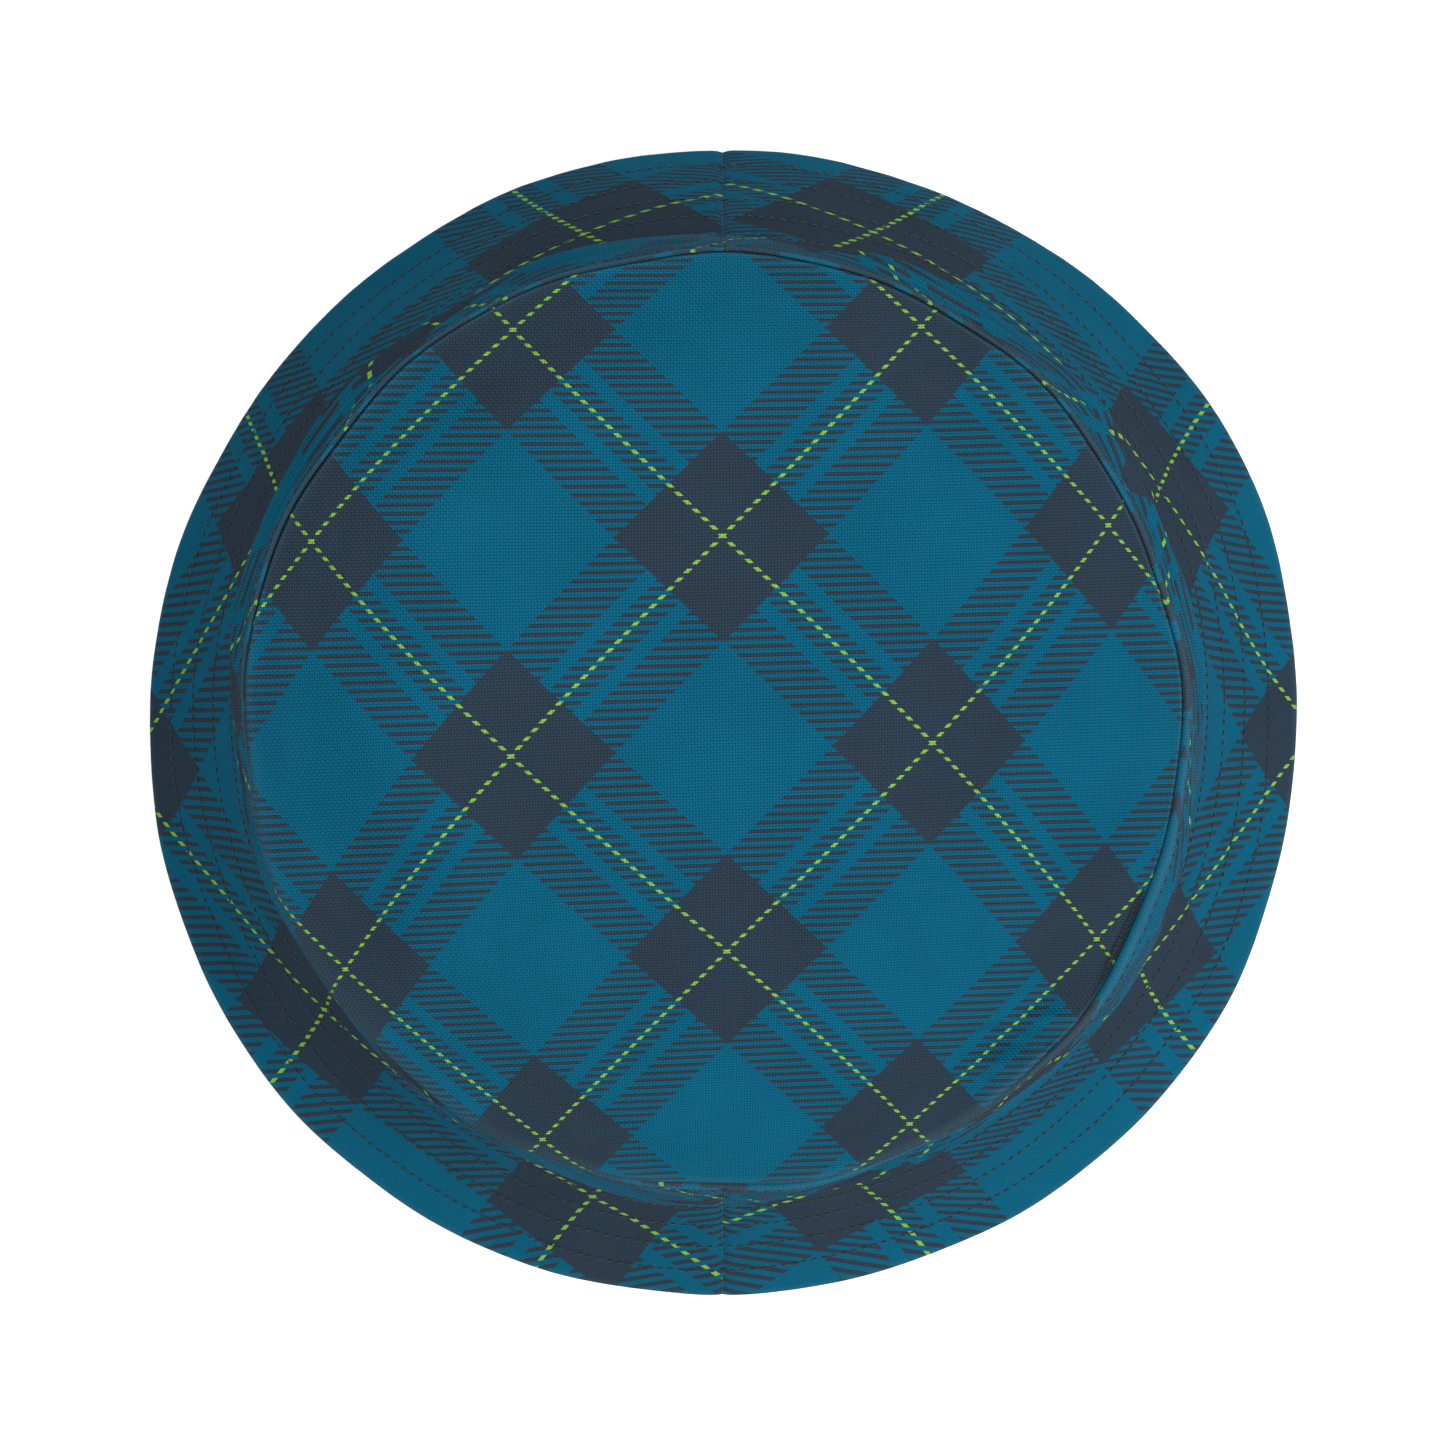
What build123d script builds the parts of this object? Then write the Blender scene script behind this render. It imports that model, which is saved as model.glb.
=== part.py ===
"""Bucket hat: a sewn crown and a stiffened brim, standing on the brim's hem.

Millimetres, +Z up. The origin is on the hat's axis, in the plane that the hem stands in.
The front and back seams lie in the plane X = 0, with the back seam towards +Y.
"""
from build123d import *
from math import asin, cos, degrees, pi, radians, sin, sqrt, tan
import os

# ---------------------------------------------------------------- driving sizes
head_circumference = 580.0      # around the inside of the sweatband
sweatband_height = 30.0
sweatband_thickness = 1.2       # a folded strip: two plies and their filling
fabric_thickness = 0.8          # the printed canvas
interlining_thickness = 0.6

crown_height = 84.0             # brim seam to top seam
crown_taper = 6.0               # how much smaller the top seam's radius is than the base's
crown_top_rise = 5.0            # dome of the top panel above its seam
seam_allowance = 8.0            # turned down inside the wall at the top seam

brim_width = 58.0               # along the slope, brim seam to hem
brim_slope = 61.0               # degrees below horizontal
hem_turn = 1.2                  # depth of the upper ply's turned edge

tape_width = 20.0
tape_thickness = 0.6
tape_gap = 0.3                  # between the ends of neighbouring strips

thread_width = 0.5
thread_height = 0.3
brim_row_count = 6
brim_hem_margin = 9.5           # hem to the first row, along the slope
brim_seam_margin = 4.5          # last row to the brim seam
top_stitch_drop = 2.5           # top seam to its row of stitches
base_stitch_rise = 2.0          # brim seam to its row of stitches
tape_stitch_inset = 2.0         # edge of a tape to its line of stitches

label_width = 18.0
label_length = 26.0
label_thickness = 0.5
label_rise = 4.0                # sweatband to the label's free end
label_gap = 0.4                 # label to the tape behind it
label_seam_inset = 1.0          # label's side edge to the end of its stitches

# ---------------------------------------------------------------- sizes that follow
opening_radius = head_circumference / (2 * pi)
crown_base_radius = opening_radius + sweatband_thickness + fabric_thickness
crown_top_radius = crown_base_radius - crown_taper
brim_thickness = 2 * fabric_thickness + interlining_thickness

base_height = brim_width * sin(radians(brim_slope))
sweatband_top = base_height + sweatband_height
knee_height = sweatband_top     # the wall leans in from here up
top_height = base_height + crown_height

bulge_rise = top_height - knee_height
bulge_radius = (crown_taper**2 + bulge_rise**2) / (2 * crown_taper)
bulge_centre = crown_base_radius - bulge_radius

rim_height = top_height + fabric_thickness
dome_radius = (crown_top_radius**2 + crown_top_rise**2) / (2 * crown_top_rise)
dome_centre = rim_height + crown_top_rise - dome_radius

brim_row_spacing = (brim_width - brim_hem_margin - brim_seam_margin) / (brim_row_count - 1)
half_turn = 180.0
full_turn = 360.0
halves = {"left": 90.0, "right": -90.0}     # azimuth at which each half starts
seams = {"front": -90.0, "back": 90.0}      # azimuth of each upright seam


# ---------------------------------------------------------------- sections
def radial_plane(azimuth):
    """Upright plane through the axis: its x is the radius at this azimuth, its y is the height."""
    angle = radians(azimuth)
    return Plane(origin=(0, 0, 0), x_dir=(cos(angle), sin(angle), 0), z_dir=(sin(angle), -cos(angle), 0))


def wall_point(height, depth):
    """Point of the wall's section at a height, this deep inside its outer face."""
    if height <= knee_height:
        return (crown_base_radius - depth, height)
    lean = sqrt((bulge_radius - depth) ** 2 - (height - knee_height) ** 2)
    return (bulge_centre + lean, height)


def wall_face(low, high, depth):
    """One face of a layer of the wall: upright to the knee, then the bulge's arc."""
    knee = min(max(low, knee_height), high)
    if low < knee:
        Line(wall_point(low, depth), wall_point(knee, depth))
    if knee < high:
        middle = (knee + high) / 2
        ThreePointArc(wall_point(knee, depth), wall_point(middle, depth), wall_point(high, depth))


def wall_layer(low, high, depth, thickness, azimuth=0.0):
    """Section of a layer that follows the wall between two heights."""
    with BuildSketch(radial_plane(azimuth)) as section:
        with BuildLine():
            wall_face(low, high, depth)
            wall_face(low, high, depth + thickness)
            Line(wall_point(low, depth), wall_point(low, depth + thickness))
            Line(wall_point(high, depth), wall_point(high, depth + thickness))
        make_face()
    return section.sketch


def brim_point(height, depth):
    """Point of the brim's section at a height, this deep inside its upper face."""
    reach = (base_height - height) / tan(radians(brim_slope))
    return (crown_base_radius + reach - depth / sin(radians(brim_slope)), height)


def brim_layer(low, high, depth, thickness, azimuth):
    """Section of one ply of the brim between two heights."""
    with BuildSketch(radial_plane(azimuth)) as section:
        with BuildLine():
            Polyline(
                brim_point(high, depth),
                brim_point(low, depth),
                brim_point(low, depth + thickness),
                brim_point(high, depth + thickness),
                close=True,
            )
        make_face()
    return section.sketch


def brim_thread(distance, depth):
    """Section of a thread that lies on the brim, this far up the slope from the hem."""
    slope = radians(brim_slope)
    foot_radius, foot_height = brim_point(0.0, depth)
    centre_radius = foot_radius - distance * cos(slope) + thread_height / 2 * sin(slope)
    centre_height = foot_height + distance * sin(slope) + thread_height / 2 * cos(slope)
    with BuildSketch(radial_plane(0.0)) as section:
        with Locations((centre_radius, centre_height)):
            Rectangle(thread_width, thread_height, rotation=-brim_slope)
    return section.sketch


def clear_height(depth):
    """Highest that a brim ply of this depth reaches without standing in the head opening."""
    overhang = opening_radius - brim_point(base_height, depth)[0]
    return base_height - max(0.0, overhang) * tan(radians(brim_slope))


def swept_angle(width, radius):
    """Angle that a strip of this width takes up around the hat."""
    return degrees(2 * asin(width / 2 / radius))


os.makedirs("parts", exist_ok=True)

# ---------------------------------------------------------------- crown
with BuildPart() as crown_top_panel:
    flange_outer = wall_point(top_height, fabric_thickness)
    flange_inner = wall_point(top_height, 2 * fabric_thickness)
    flange_low = top_height - seam_allowance
    dome_inner = dome_radius - fabric_thickness
    with BuildSketch(radial_plane(0.0)):
        with BuildLine():
            ThreePointArc(
                (crown_top_radius, rim_height),
                (crown_top_radius / 2, dome_centre + sqrt(dome_radius**2 - (crown_top_radius / 2) ** 2)),
                (0, dome_centre + dome_radius),
            )
            Line((0, dome_centre + dome_radius), (0, dome_centre + dome_inner))
            shoulder = (flange_inner[0], dome_centre + sqrt(dome_inner**2 - flange_inner[0] ** 2))
            ThreePointArc(
                (0, dome_centre + dome_inner),
                (flange_inner[0] / 2, dome_centre + sqrt(dome_inner**2 - (flange_inner[0] / 2) ** 2)),
                shoulder,
            )
            Line(shoulder, flange_inner)
            wall_face(flange_low, top_height, 2 * fabric_thickness)
            Line(wall_point(flange_low, 2 * fabric_thickness), wall_point(flange_low, fabric_thickness))
            wall_face(flange_low, top_height, fabric_thickness)
            Line(flange_outer, (crown_top_radius, top_height))
            Line((crown_top_radius, top_height), (crown_top_radius, rim_height))
        make_face()
    revolve(axis=Axis.Z)
crown_top_panel.part.label = "crown_top_panel"
export_step(crown_top_panel.part, "parts/crown_top_panel.step")

for side, start in halves.items():
    with BuildPart() as crown_side_panel:
        wall = wall_layer(base_height, top_height, 0.0, fabric_thickness, start)
        revolve(wall, axis=Axis.Z, revolution_arc=half_turn)
    crown_side_panel.part.label = f"crown_side_panel_{side}"
    export_step(crown_side_panel.part, f"parts/crown_side_panel_{side}.step")

# ---------------------------------------------------------------- brim
lining_depth = fabric_thickness + interlining_thickness
lining_top = clear_height(lining_depth)
under_top = clear_height(brim_thickness)
for side, start in halves.items():
    with BuildPart() as brim_upper:
        with BuildSketch(radial_plane(start)):
            with BuildLine():
                Polyline(
                    brim_point(base_height, 0.0),
                    brim_point(0.0, 0.0),
                    brim_point(0.0, brim_thickness),
                    brim_point(hem_turn, brim_thickness),
                    brim_point(hem_turn, fabric_thickness),
                    brim_point(base_height, fabric_thickness),
                    close=True,
                )
            make_face()
        revolve(axis=Axis.Z, revolution_arc=half_turn)
    brim_upper.part.label = f"brim_upper_{side}"
    export_step(brim_upper.part, f"parts/brim_upper_{side}.step")

    with BuildPart() as brim_interlining:
        ply = brim_layer(hem_turn, lining_top, fabric_thickness, interlining_thickness, start)
        revolve(ply, axis=Axis.Z, revolution_arc=half_turn)
    brim_interlining.part.label = f"brim_interlining_{side}"
    export_step(brim_interlining.part, f"parts/brim_interlining_{side}.step")

    with BuildPart() as brim_under:
        ply = brim_layer(hem_turn, under_top, lining_depth, fabric_thickness, start)
        revolve(ply, axis=Axis.Z, revolution_arc=half_turn)
    brim_under.part.label = f"brim_under_{side}"
    export_step(brim_under.part, f"parts/brim_under_{side}.step")

# Each row is a needle thread on the upper face and a bobbin thread on the under face.
for row in range(brim_row_count):
    with BuildPart() as brim_stitch_row:
        distance = brim_hem_margin + row * brim_row_spacing
        revolve(brim_thread(distance, 0.0), axis=Axis.Z)
        revolve(brim_thread(distance, brim_thickness + thread_height), axis=Axis.Z)
    brim_stitch_row.part.label = f"brim_stitch_row_{row + 1}"
    export_step(brim_stitch_row.part, f"parts/brim_stitch_row_{row + 1}.step")

# ---------------------------------------------------------------- sweatband
with BuildPart() as sweatband:
    with BuildSketch(radial_plane(0.0)):
        with BuildLine():
            Polyline(
                (opening_radius, base_height),
                (opening_radius + sweatband_thickness, base_height),
                (opening_radius + sweatband_thickness, sweatband_top),
                (opening_radius, sweatband_top),
                close=True,
            )
        make_face()
    revolve(axis=Axis.Z)
sweatband.part.label = "sweatband"
export_step(sweatband.part, "parts/sweatband.step")

# Only the needle thread, which lies on the wall: the bobbin thread is sunk in the sweatband's face.
base_stitch_low = base_height + base_stitch_rise
base_stitch_high = base_stitch_low + thread_width
with BuildPart() as crown_base_topstitch:
    thread = wall_layer(base_stitch_low, base_stitch_high, -thread_height, thread_height)
    revolve(thread, axis=Axis.Z)
crown_base_topstitch.part.label = "crown_base_topstitch"
export_step(crown_base_topstitch.part, "parts/crown_base_topstitch.step")

# ---------------------------------------------------------------- tapes
top_tape_low = top_height - seam_allowance
top_tape_high = top_height - tape_gap
with BuildPart() as crown_top_seam_tape:
    tape = wall_layer(top_tape_low, top_tape_high, 2 * fabric_thickness, tape_thickness)
    revolve(tape, axis=Axis.Z)
crown_top_seam_tape.part.label = "crown_top_seam_tape"
export_step(crown_top_seam_tape.part, "parts/crown_top_seam_tape.step")

top_stitch_high = top_height - top_stitch_drop
top_stitch_low = top_stitch_high - thread_width
with BuildPart() as crown_top_topstitch:
    top_tape_face = 2 * fabric_thickness + tape_thickness
    revolve(wall_layer(top_stitch_low, top_stitch_high, -thread_height, thread_height), axis=Axis.Z)
    revolve(wall_layer(top_stitch_low, top_stitch_high, top_tape_face, thread_height), axis=Axis.Z)
crown_top_topstitch.part.label = "crown_top_topstitch"
export_step(crown_top_topstitch.part, "parts/crown_top_topstitch.step")

tape_low = sweatband_top + tape_gap
tape_high = top_tape_low - tape_gap
tape_turn = swept_angle(tape_width, crown_base_radius)
stitch_turn = swept_angle(thread_width, crown_base_radius)
line_turn = swept_angle(tape_width - 2 * tape_stitch_inset, crown_base_radius)
tape_face = fabric_thickness + tape_thickness
for end, azimuth in seams.items():
    with BuildPart() as seam_tape:
        tape = wall_layer(tape_low, tape_high, fabric_thickness, tape_thickness, azimuth - tape_turn / 2)
        revolve(tape, axis=Axis.Z, revolution_arc=tape_turn)
    seam_tape.part.label = f"{end}_seam_tape"
    export_step(seam_tape.part, f"parts/{end}_seam_tape.step")

    with BuildPart() as tape_stitching:
        for line in (-1, 1):
            line_start = azimuth + line * line_turn / 2 - stitch_turn / 2
            thread = wall_layer(tape_low, tape_high, tape_face, thread_height, line_start)
            revolve(thread, axis=Axis.Z, revolution_arc=stitch_turn)
    tape_stitching.part.label = f"{end}_tape_stitching"
    export_step(tape_stitching.part, f"parts/{end}_tape_stitching.step")

# ---------------------------------------------------------------- care label
label_top = sweatband_top + label_rise + label_length
thread_face_radius = wall_point(label_top, tape_face + thread_height)[0]
label_back = sqrt(thread_face_radius**2 - (label_width / 2) ** 2) - label_gap
with BuildPart() as care_label:
    with Locations((0, label_back - label_thickness / 2, label_top - label_length / 2)):
        Box(label_width, label_thickness, label_length)
care_label.part.label = "care_label"
export_step(care_label.part, "parts/care_label.step")

label_stitch_low = label_top + label_gap
label_turn = swept_angle(tape_width - 2 * tape_stitch_inset - 2 * label_seam_inset, crown_base_radius)
label_start = seams["back"] - label_turn / 2
label_stitch_high = label_stitch_low + thread_width
with BuildPart() as label_stitching:
    thread = wall_layer(label_stitch_low, label_stitch_high, tape_face, thread_height, label_start)
    revolve(thread, axis=Axis.Z, revolution_arc=label_turn)
label_stitching.part.label = "label_stitching"
export_step(label_stitching.part, "parts/label_stitching.step")

print("opening radius", round(opening_radius, 3), "base height", round(base_height, 3))
print("hem radius", round(brim_point(0.0, 0.0)[0], 3), "overall height", round(rim_height + crown_top_rise, 3))
print("label hinge y", round(label_back - label_thickness / 2, 3), "z", round(label_top, 3))
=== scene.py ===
"""Looks of a bucket hat: bias tartan cloth, a quilted brim, a sweatband, seam tapes and a care label.

Shapes are worked out in millimetres and made in metres. Around the hat, an azimuth is measured
from +X towards +Y. The left half of the hat is the -X side, the right half the +X side.
"""
import math
import random

import bmesh
import bpy
import numpy as np
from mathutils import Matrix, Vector, noise


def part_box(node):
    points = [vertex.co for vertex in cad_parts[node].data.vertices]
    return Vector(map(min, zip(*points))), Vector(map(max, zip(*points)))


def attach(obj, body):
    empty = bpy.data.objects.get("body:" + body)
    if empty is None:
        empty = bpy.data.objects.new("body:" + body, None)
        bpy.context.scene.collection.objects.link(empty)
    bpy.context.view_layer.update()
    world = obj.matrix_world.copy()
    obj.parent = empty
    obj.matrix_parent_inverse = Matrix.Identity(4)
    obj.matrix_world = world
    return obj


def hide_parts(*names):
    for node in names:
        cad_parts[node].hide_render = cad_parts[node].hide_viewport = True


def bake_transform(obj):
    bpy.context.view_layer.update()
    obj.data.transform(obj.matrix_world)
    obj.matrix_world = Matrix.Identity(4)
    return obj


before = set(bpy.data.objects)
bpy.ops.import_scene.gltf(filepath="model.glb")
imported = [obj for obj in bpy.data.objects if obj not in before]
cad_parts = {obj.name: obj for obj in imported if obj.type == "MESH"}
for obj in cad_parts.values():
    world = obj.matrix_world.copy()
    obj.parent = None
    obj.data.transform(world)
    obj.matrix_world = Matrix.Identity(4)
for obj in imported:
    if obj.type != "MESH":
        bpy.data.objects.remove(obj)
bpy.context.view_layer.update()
rng = random.Random(7)

# ---------------------------------------------------------------- sizes, in millimetres
MM = 0.001
TURN = 2.0 * math.pi
BACK = math.pi / 2
FRONT = -math.pi / 2

BASE_RADIUS = 94.31
BASE_HEIGHT = 50.73
SWEATBAND_TOP = 80.73
TOP_RADIUS = 88.31
TOP_HEIGHT = 134.73
PANEL_EDGE_HEIGHT = 135.3
PANEL_RISE = 5.1
CLOTH = 0.8
BEAD = 1.0
BEAD_HEIGHT = TOP_HEIGHT - 0.6
SEAM_REST = TOP_HEIGHT - 0.4
TOPSTITCH_DOWN = 2.75
BASE_STITCH_UP = 2.25
WALL_MEAN_RADIUS = 93.0
BULGE_RADIUS = 246.0
ALLOWANCE = 8.0

BRIM_WIDTH = 58.0
BRIM_THICKNESS = 2.2
HEM_RADIUS = 122.43
HEM_ROLL = 1.1
BRIM_ROWS = 6
FIRST_ROW = 9.5
ROW_SPACING = 8.8

THREAD = 0.5
STITCH_PITCH = 2.2
WALL_PITCH = 2.6

# Shapes around the hat, given every 30 degrees from +X towards +Y: the crown's edge and how far it
# rolls over its seam, the wall's shoulder, seam bead and buckles, how flat the top stays, the hem, how the
# brim flares, how low the crown's edge sits, a swell inside that edge, and how stretched the brim's print is.
EDGE_SHIFT = (-1.6, -1.6, -0.1, 0.5, 1.6, 2.3, 2.3, 2.0, 1.2, -0.7, 0.3, -1.4)
OVERHANG = (-0.5, -0.55, -0.55, -0.5, -0.55, -0.4, 0.4, 1.0, 1.0, 0.3, 0.6, -0.4)
SHOULDER = (1.0, 1.4, 2.1, 1.4, 1.0, 2.7, -0.4, -2.2, -2.4, 0.0, -1.6, 0.3)
BEAD_SIZE = (0.9, 0.45, 0.4, 0.45, 0.4, 0.4, 0.45, 0.4, 0.5, 0.8, 0.5, 1.1)
BUCKLE = (0.5, 1.2, 1.0, 0.4, 1.1, 1.3, 0.6, 0.4, 0.4, 0.3, 0.6, 0.4)
PANEL_ROUND = (3.0, 3.2, 3.4, 4.0, 4.6, 4.8, 4.4, 4.4, 4.0, 3.2, 3.0, 3.0)
HEM_SHIFT = (0.2, 2.2, -0.2, 0.0, -0.6, -0.8, 0.2, 0.9, 1.1, -0.2, 0.2, 0.9)
FLARE = (0.65, 0.35, 0.05, 0.0, 0.03, 0.2, 0.45, 0.6, 0.65, 0.6, 0.6, 0.65)
EDGE_DROP = (0.0, 0.0, 0.6, 1.6, 3.0, 3.0, 2.5, 2.5, 2.0, 0.8, 0.8, 0.3)
CREST = (0.0, 0.0, 0.0, 0.9, 1.5, 1.2, 1.0, 1.5, 1.3, 0.8, 0.0, 0.0)
PRINT_REACH = (1.21, 1.31, 1.2, 1.12, 1.2, 1.32, 1.38, 1.54, 1.85, 1.95, 1.62, 1.38)


# ---------------------------------------------------------------- smooth functions
def around(azimuth, values):
    """Smooth closed curve through values chosen at even steps around the hat."""
    values = np.asarray(values, float)
    count = len(values)
    place = np.mod(azimuth / TURN * count, count)
    step = np.floor(place).astype(int)
    part = place - step
    before = values[(step - 1) % count]
    here = values[step % count]
    after = values[(step + 1) % count]
    beyond = values[(step + 2) % count]
    cubic = 3 * (here - after) + beyond - before
    square = 2 * before - 5 * here + 4 * after - beyond
    return here + 0.5 * part * (after - before + part * (square + part * cubic))


def ease(value, low, high):
    """0 below low, 1 above high, smooth between."""
    part = np.clip((value - low) / (high - low), 0.0, 1.0)
    return part * part * (3.0 - 2.0 * part)


def hill(value, centre, width):
    return np.exp(-(((value - centre) / width) ** 2))


def turned(azimuth, centre):
    """Signed angle from centre to azimuth, by the shorter way."""
    return np.mod(azimuth - centre + math.pi, TURN) - math.pi


def mottle(x, y, z, seed):
    """Smooth noise, one value a point."""
    flat = zip(np.ravel(x), np.ravel(y), np.ravel(z))
    values = [noise.noise(Vector((a + seed, b - seed, c))) for a, b, c in flat]
    return np.reshape(values, np.shape(x))


# ---------------------------------------------------------------- crown
def roll(azimuth):
    """Radius and angle of the top panel's rounded edge, and the seam's height and radius."""
    over = np.clip(around(azimuth, OVERHANG), -0.6, 1.0)
    radius = 1.0 + 2.2 * np.clip(over, 0.0, 1.0)
    wrap = np.radians(90.0 + 60.0 * over)
    seam_height = PANEL_EDGE_HEIGHT - radius + radius * np.cos(wrap)
    seam_height = seam_height - around(azimuth, EDGE_DROP) + 0.3 * np.sin(3 * azimuth + 0.6)
    seam_height = seam_height - 0.8 * hill(turned(azimuth, FRONT), 0, 0.12)
    ripple = 0.3 * np.sin(9 * azimuth + 1.0) + 0.2 * np.sin(17 * azimuth)
    edge = TOP_RADIUS + around(azimuth, EDGE_SHIFT) + ripple
    seam_radius = edge - radius * (1.0 - np.sin(wrap))
    return radius, wrap, seam_height, seam_radius


def seam_dip(azimuth, radius, width):
    """1 on the front and back seams, 0 away from them."""
    front = hill(turned(azimuth, FRONT) * radius, 0, width)
    back = hill(turned(azimuth, BACK) * radius, 0, width)
    return front + back


def wall_radius(azimuth, height):
    seam_radius = roll(azimuth)[3]
    rise = np.clip(height - SWEATBAND_TOP, 0.0, None)
    radius = BASE_RADIUS - BULGE_RADIUS + np.sqrt(BULGE_RADIUS**2 - rise**2)
    high = ease(height, SWEATBAND_TOP, TOP_HEIGHT)
    radius = radius + high * (seam_radius + 1.7 * around(azimuth, BEAD_SIZE) - TOP_RADIUS)
    radius = radius + around(azimuth, SHOULDER) * hill(height, 118.0, 11.0)
    loose = ease(height, SWEATBAND_TOP, 96.0) * (1.0 - ease(height, 124.0, TOP_HEIGHT))
    x = radius * np.cos(azimuth)
    y = radius * np.sin(azimuth)
    patchy = 0.85 + 1.3 * mottle(x * 0.045, y * 0.045, height * 0.03, 12.7)
    shift = 3.5 * mottle(x * 0.03, y * 0.03, height * 0.04, 21.3)
    wave = np.sin(height * 0.72 + 2.5 * np.sin(3 * azimuth + 1.0) + 1.2 * np.sin(7 * azimuth) + shift)
    radius = radius + loose * around(azimuth, BUCKLE) * patchy * wave
    dents = 0.6 * np.sin(5 * azimuth + 1.1 + 0.03 * height) + 0.4 * np.sin(11 * azimuth - 0.05 * height)
    return radius + loose * dents


def wall_place(azimuth, height, depth):
    """A point of the wall, from its height before the seam drops and its depth inside the outer face."""
    seam_height = roll(azimuth)[2]
    skin = np.clip(1.0 - depth / CLOTH, 0.0, 1.0)
    thin = 1.0 + (around(azimuth, BEAD_SIZE) - 1.0) * ease(height, TOP_HEIGHT - 3.5, TOP_HEIGHT - 0.8)
    height = np.where(height > BEAD_HEIGHT, BEAD_HEIGHT + (height - BEAD_HEIGHT) * thin, height)
    radius = wall_radius(azimuth, height) - depth * thin
    radius = radius - skin * 0.45 * seam_dip(azimuth, 92.0, 0.8)
    radius = radius - skin * 0.22 * hill(height, TOP_HEIGHT - TOPSTITCH_DOWN, 0.6)
    radius = radius - skin * 0.22 * hill(height, BASE_HEIGHT + BASE_STITCH_UP, 0.6)
    radius = radius - skin * 0.5 * (1.0 - ease(height, BASE_HEIGHT, BASE_HEIGHT + 1.2))
    drop = (SEAM_REST - seam_height) * ease(height, SWEATBAND_TOP, TOP_HEIGHT)
    return np.stack([radius * np.cos(azimuth), radius * np.sin(azimuth), height - drop], axis=-1)


# A fold of the top panel: azimuth and inset from the edge of its middle, turn from the radial
# direction, half length, half width and height.
PANEL_FOLDS = (
    (-43.0, 9.0, 84.0, 26.0, 4.0, -2.2),
    (-40.0, 17.0, 80.0, 24.0, 5.0, 1.0),
    (-52.0, 6.0, 45.0, 8.5, 1.6, 1.9),
    (-47.5, 7.0, 38.0, 9.0, 1.5, -1.8),
    (-43.0, 6.0, 40.0, 8.0, 1.6, 1.7),
    (-29.0, 8.0, 62.0, 15.0, 3.0, -1.7),
    (8.0, 10.0, 86.0, 24.0, 4.0, -0.7),
    (38.0, 9.0, 84.0, 20.0, 4.0, -0.7),
    (66.0, 7.0, 86.0, 22.0, 3.5, -0.8),
    (128.0, 10.0, 80.0, 18.0, 4.0, -0.6),
    (205.0, 12.0, 88.0, 26.0, 6.0, -0.9),
    (252.0, 9.0, 86.0, 24.0, 4.0, -0.9),
    (285.0, 8.0, 80.0, 14.0, 3.0, -0.7),
)


def panel_height(azimuth, radius, edge):
    """Height of the top panel's outer face above its edge."""
    share = np.clip(radius / edge, 0.0, 1.0)
    height = PANEL_RISE * (1.0 - share ** around(azimuth, PANEL_ROUND))
    height = height + 0.35 * hill(radius, edge - 5.0, 3.0)
    height = height + around(azimuth, CREST) * ease(share, 0.35, 0.72) * (1.0 - ease(share, 0.84, 1.0))
    lean = turned(azimuth, math.radians(-42.0))
    height = height - 2.2 * hill(lean, 0, 0.6) * hill(share, 0.84, 0.16)
    height = height - 0.8 * hill(turned(azimuth, math.radians(205.0)), 0, 0.7) * hill(share, 0.85, 0.12)
    x = radius * np.cos(azimuth)
    y = radius * np.sin(azimuth)
    for degrees, inset, heading, length, width, rise in PANEL_FOLDS:
        angle = math.radians(degrees)
        middle = TOP_RADIUS - inset
        along = angle + math.radians(heading)
        dx = x - middle * math.cos(angle)
        dy = y - middle * math.sin(angle)
        run = dx * math.cos(along) + dy * math.sin(along)
        side = -dx * math.sin(along) + dy * math.cos(along)
        side = side + run * run / (2.6 * middle) * math.sin(math.radians(heading)) ** 2
        height = height + rise * hill(run, 0, length) * hill(side, 0, width)
    fade = 1.0 - ease(share, 0.9, 1.0)
    slack = mottle(x * 0.035, y * 0.035, x * 0.0, 3.1) * 0.9 + mottle(x * 0.09, y * 0.09, x * 0.0, 8.3) * 0.25
    return height + slack * (0.35 + 0.65 * fade)


def panel_place(azimuth, path, depth):
    """A point of the top panel: path runs 0 to 1 over the top, to 2 round the edge, to 3 down inside."""
    radius, wrap, seam_height, seam_radius = roll(azimuth)
    centre_radius = seam_radius - radius * np.sin(wrap)
    centre_height = seam_height - radius * np.cos(wrap)
    over = np.clip(path, 0.0, 1.0)
    top_radius = over * centre_radius
    level = PANEL_EDGE_HEIGHT + (centre_height + radius - PANEL_EDGE_HEIGHT) * ease(over, 0.7, 1.0)
    top_height = level + panel_height(azimuth, top_radius, centre_radius) - depth
    angle = np.clip(path - 1.0, 0.0, 1.0) * wrap
    edge_lift = panel_height(azimuth, centre_radius, centre_radius) * (1.0 - np.clip(path - 1.0, 0.0, 1.0))
    edge_radius = centre_radius + (radius - depth) * np.sin(angle)
    edge_height = centre_height + (radius - depth) * np.cos(angle) + edge_lift
    fall = np.clip(path - 2.0, 0.0, 1.0)
    inside = wall_place(azimuth, SEAM_REST - fall * (ALLOWANCE - 0.6), 2.0 + depth)
    low_radius = np.hypot(inside[..., 0], inside[..., 1])
    low_height = inside[..., 2]
    settle = ease(path, 2.0, 2.25)
    low_radius = edge_radius * (1.0 - settle) + low_radius * settle
    low_height = np.where(path > 2.0, edge_height * (1.0 - settle) + low_height * settle, edge_height)
    out = np.where(path <= 1.0, top_radius, np.where(path <= 2.0, edge_radius, low_radius))
    up = np.where(path <= 1.0, top_height, np.where(path <= 2.0, edge_height, low_height))
    return np.stack([out * np.cos(azimuth), out * np.sin(azimuth), up], axis=-1)


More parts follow.
